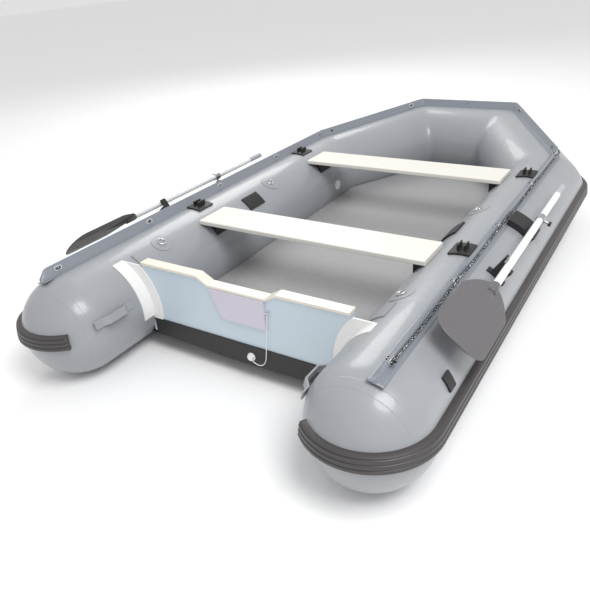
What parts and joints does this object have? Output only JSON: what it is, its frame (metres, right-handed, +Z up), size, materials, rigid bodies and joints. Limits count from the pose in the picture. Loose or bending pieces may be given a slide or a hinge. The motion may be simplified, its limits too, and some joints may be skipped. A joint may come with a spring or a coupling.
{
  "type": "inflatable boat",
  "caption": "Inflatable boat with side tubes joined to a blunt bow, air deck, rigid transom, bench seats and swinging oars stowed along the tubes.",
  "frame": {"origin": "centre of the boat's footprint, on the floor under its tubes", "axes": "+X towards the bow, +Y to port, +Z up"},
  "size_m": [3.1828, 1.8226, 0.5168],
  "materials": {
    "tube_pvc": "satin coated fabric",
    "strake_rubber": "satin",
    "flap_pvc": "satin coated fabric",
    "eyelet_metal": "satin",
    "deck_fabric": "fine quilted texture",
    "hull_pvc": "satin",
    "transom_paint": "painted plywood",
    "cream_plastic": "satin",
    "motor_plate_plastic": "matt",
    "white_plastic": "satin",
    "steel": "polished",
    "white_cord": "woven",
    "black_rope": "braided",
    "seat_board": "cream painted",
    "black_rubber": "matt",
    "oar_metal": "satin",
    "grip_grey": "matt",
    "blade_plastic": "matt moulded",
    "black_plastic": "matt"
  },
  "bodies": {
    "boat": {"accessory_mounts": "black_rubber", "aft_seat": "seat_board", "air_floor": "deck_fabric", "blade_holders": "black_rubber", "bow_flap": "flap_pvc", "bow_strake": "strake_rubber", "bow_tube": "tube_pvc", "cord_eye": "steel", "d_rings": "steel", "drain_plug": "white_plastic", "drain_plug_cord": "white_cord", "drain_socket": "white_plastic", "forward_seat": "seat_board", "hull_bottom": "hull_pvc", "lifeline_eyelets": "eyelet_metal", "motor_plates": "motor_plate_plastic", "oar_clips": "black_rubber", "oarlock_bases": "black_rubber", "port_lifeline": "black_rope", "port_shoulder_flap": "flap_pvc", "port_shoulder_strake": "strake_rubber", "port_shoulder_tube": "tube_pvc", "port_side_flap": "flap_pvc", "port_side_strake": "strake_rubber", "port_side_tube": "tube_pvc", "ring_patches": "flap_pvc", "seat_brackets": "black_rubber", "spare_seat_pads": "black_rubber", "starboard_lifeline": "black_rope", "starboard_shoulder_flap": "flap_pvc", "starboard_shoulder_strake": "strake_rubber", "starboard_shoulder_tube": "tube_pvc", "starboard_side_flap": "flap_pvc", "starboard_side_strake": "strake_rubber", "starboard_side_tube": "tube_pvc", "stern_handles": "flap_pvc", "transom_board": "transom_paint", "transom_cap": "cream_plastic", "transom_gussets": "flap_pvc", "transom_holders": "white_plastic", "transom_skirt": "hull_pvc", "tube_valves": "white_plastic"},
    "port_oar": {"port_oar_collar": "oar_metal", "port_oar_knob": "black_plastic", "port_oar_shaft": "oar_metal", "port_oar_grip": "grip_grey", "port_oar_blade": "blade_plastic"},
    "starboard_oar": {"starboard_oar_collar": "oar_metal", "starboard_oar_knob": "black_plastic", "starboard_oar_shaft": "oar_metal", "starboard_oar_grip": "grip_grey", "starboard_oar_blade": "blade_plastic"}
  },
  "joints": [
    {"name": "port_oar_swing", "type": "hinge", "parent": "boat", "child": "port_oar", "pos_m": [-0.1985, 0.83591, 0.42279], "axis": [0, -0.3746, -0.9272], "range_deg": [0, 120]},
    {"name": "starboard_oar_swing", "type": "hinge", "parent": "boat", "child": "starboard_oar", "pos_m": [-0.1985, -0.83591, 0.42279], "axis": [0, -0.3746, 0.9272], "range_deg": [0, 120]}
  ]
}
